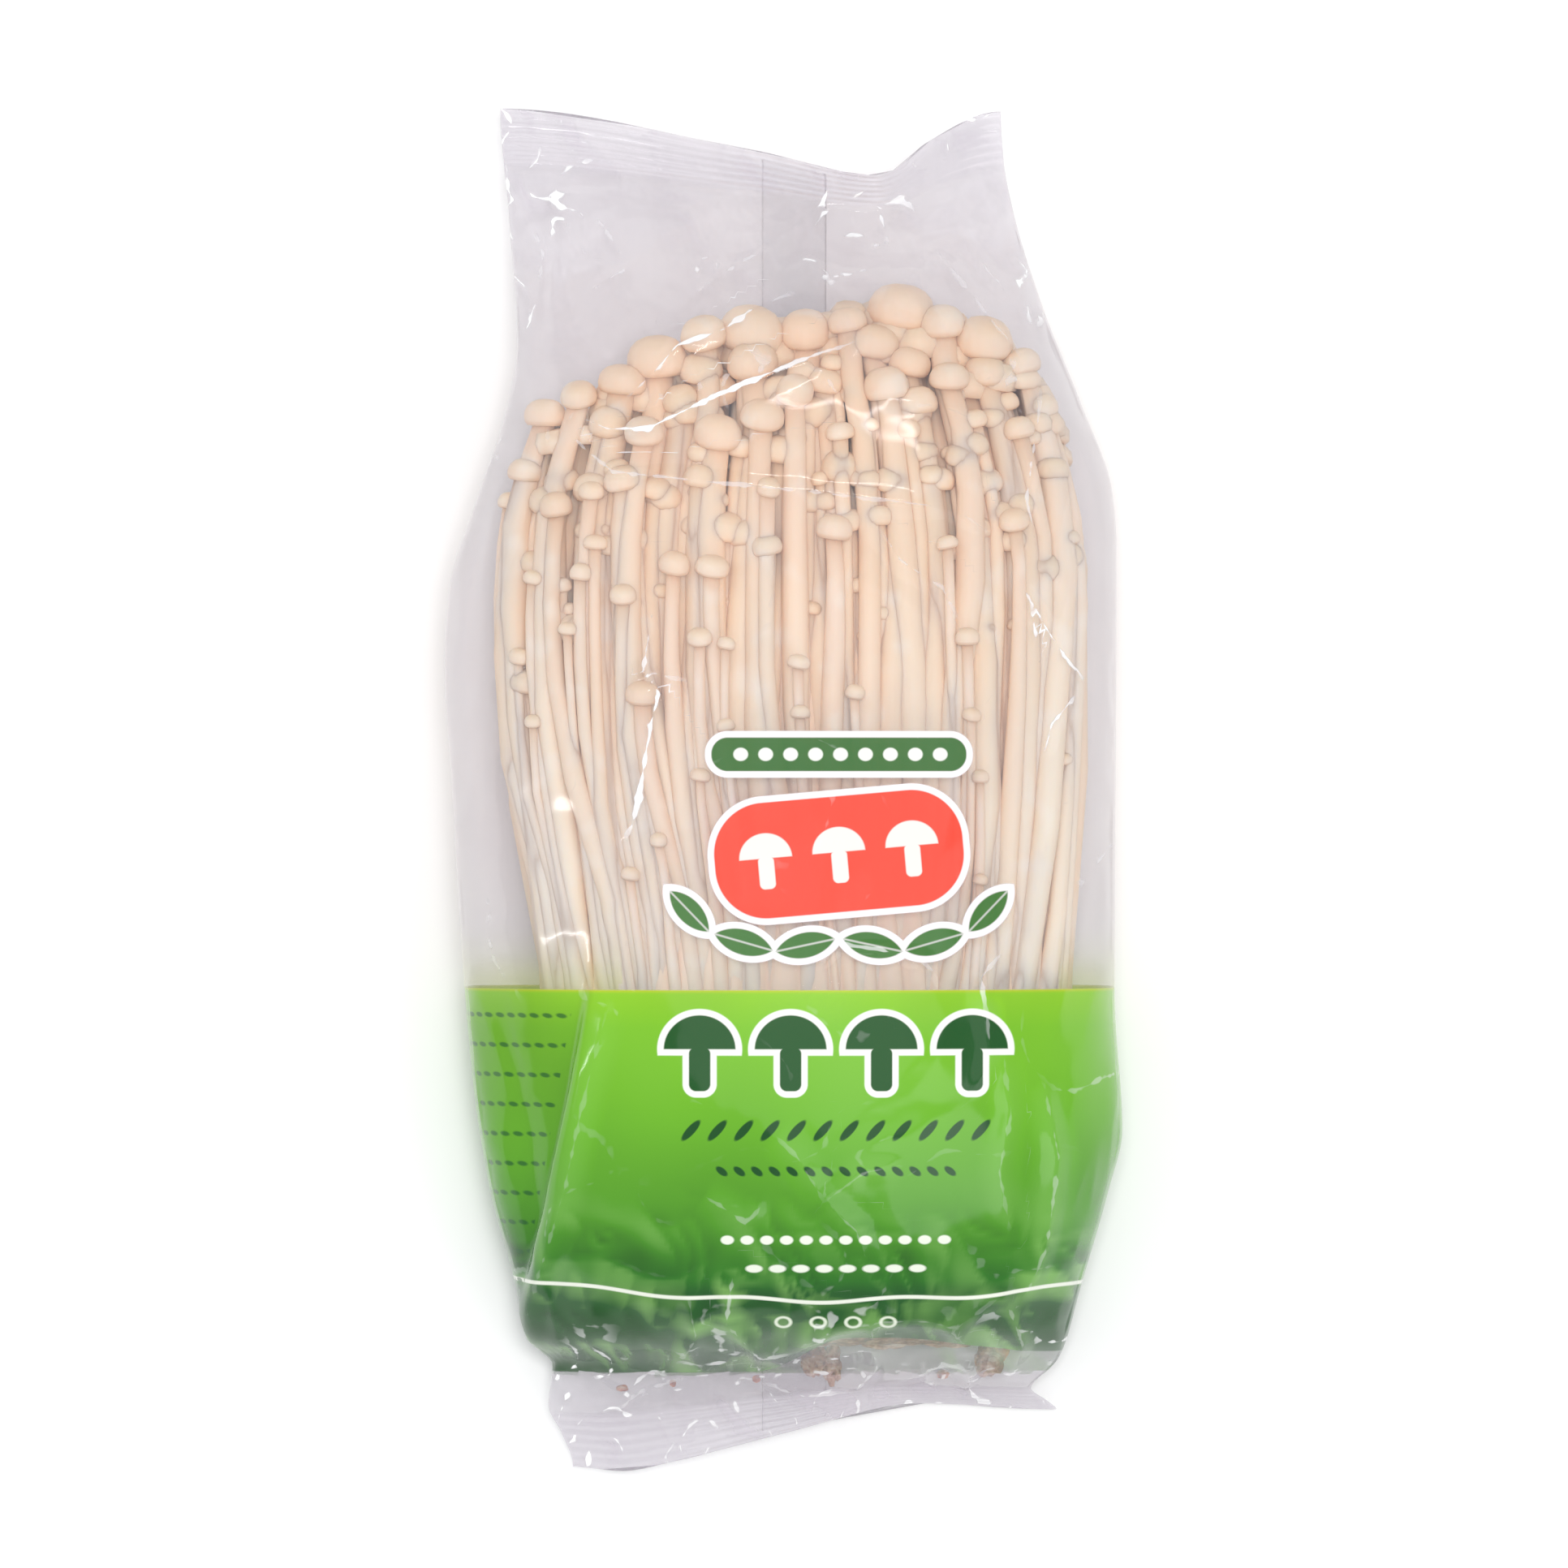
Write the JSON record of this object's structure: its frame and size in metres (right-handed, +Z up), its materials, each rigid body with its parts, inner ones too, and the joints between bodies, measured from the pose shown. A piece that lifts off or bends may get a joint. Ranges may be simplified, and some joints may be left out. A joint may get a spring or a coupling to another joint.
{
  "type": "enoki mushroom bunch in a film bag",
  "caption": "Bunch of long thin stems with small domed caps, rooted in a cut pad and sealed in a pillow-shaped clear film bag that lies on its back.",
  "frame": {"origin": "under the middle of the bag, on the surface it lies on", "axes": "+Y from the cut root pad towards the caps, +X across the bag, +Z up out of the surface, through the printed front"},
  "size_m": [0.0938, 0.19, 0.0504],
  "materials": {
    "film": "clear glossy film, with a green printed band over the lower half",
    "flesh": "moist cream mushroom flesh, satin",
    "root": "matt, fibrous growing block, sawdust and roots",
    "crumb": "matt crumbs of growing block"
  },
  "bodies": {
    "root": {"bag_film": "film", "mushroom_bunch": "flesh", "root_pad": "root", "crumb_1": "crumb", "crumb_2": "crumb", "crumb_3": "crumb", "crumb_4": "crumb", "crumb_5": "crumb"}
  },
  "joints": []
}
